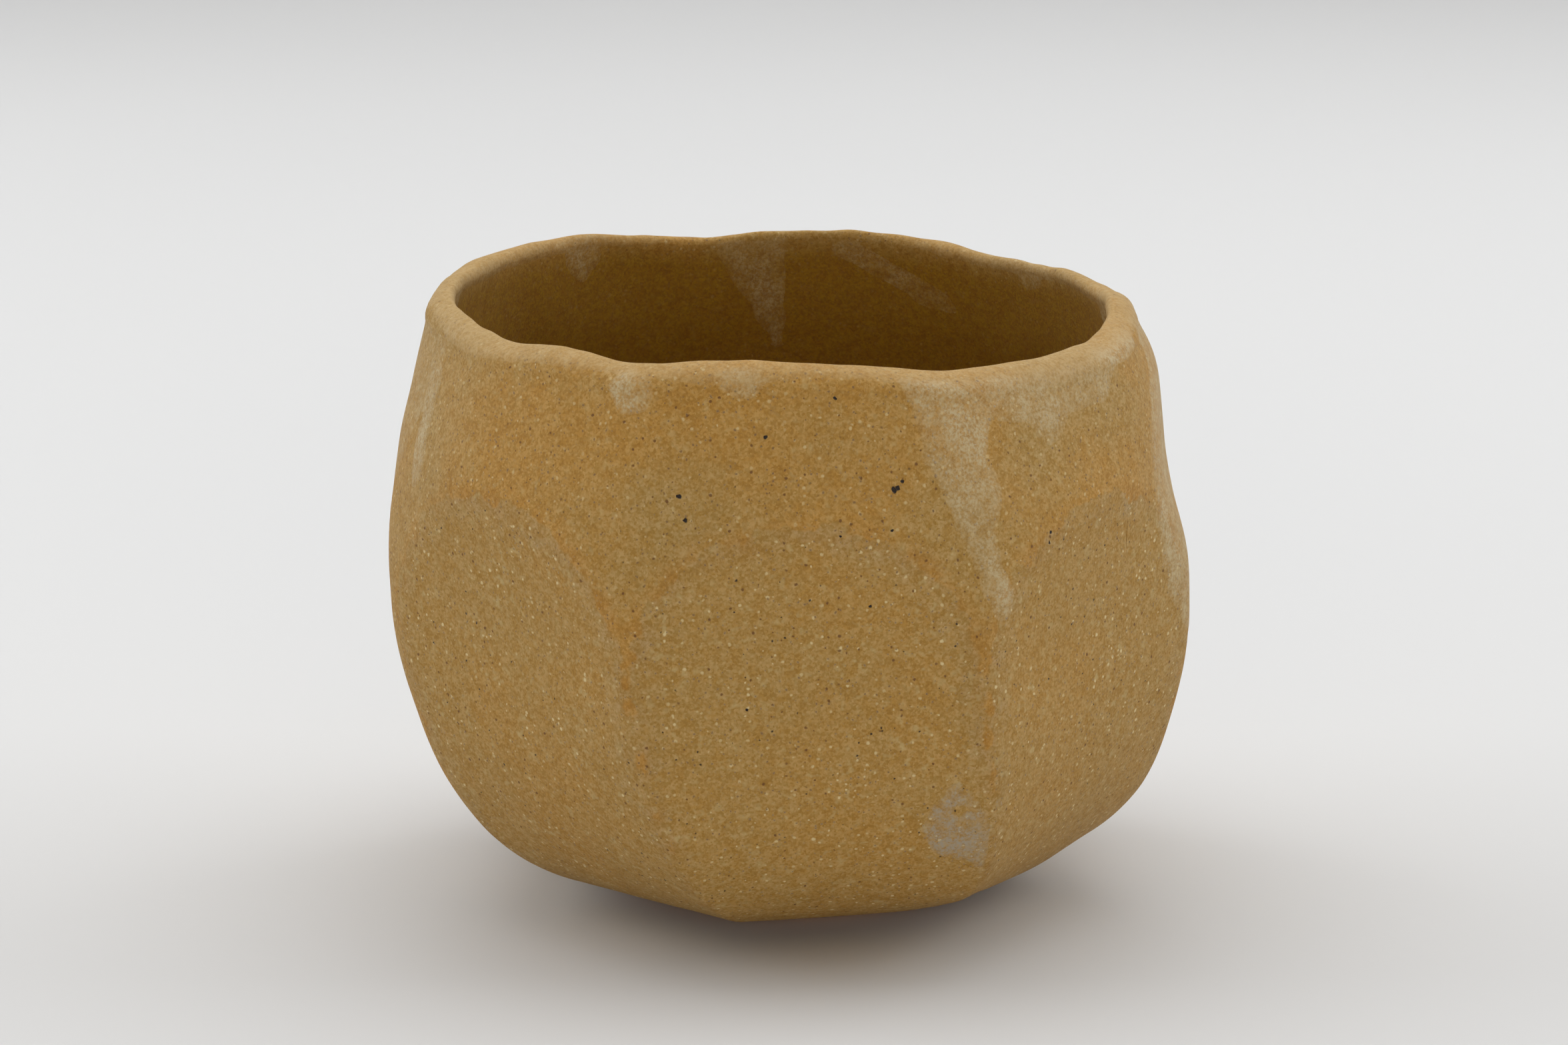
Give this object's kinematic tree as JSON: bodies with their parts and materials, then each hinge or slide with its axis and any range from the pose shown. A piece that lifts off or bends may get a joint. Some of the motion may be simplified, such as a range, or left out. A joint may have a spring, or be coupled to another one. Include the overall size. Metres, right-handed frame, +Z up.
{
  "type": "tea bowl",
  "caption": "Knife-faceted stoneware tea bowl with a softly waving lip, a pale glaze that has run down from it and a small foot ring. Holds tea and stands on a table.",
  "frame": {"origin": "middle of the bowl's plan, on the table that the foot ring stands on", "axes": "+Z up towards the lip, -Y towards the pictured front, +X to its right"},
  "size_m": [0.1102, 0.1104, 0.0877],
  "materials": {
    "clay_wall": "matte ochre stoneware with fine pale grit",
    "clay_floor": "matte ochre stoneware with fine pale grit",
    "clay_foot": "bare fired clay, rough",
    "slip": "fired slip, hidden in the joint",
    "pale_glaze": "thin milky glaze, soft sheen",
    "spot_glaze": "pale grey-violet glaze, dry and rough"
  },
  "bodies": {
    "root": {"bowl_wall": "clay_wall", "bowl_floor": "clay_floor", "floor_slip": "slip", "foot_ring": "clay_foot", "foot_slip": "slip", "rim_glaze": "pale_glaze", "glaze_spot": "spot_glaze"}
  },
  "joints": []
}
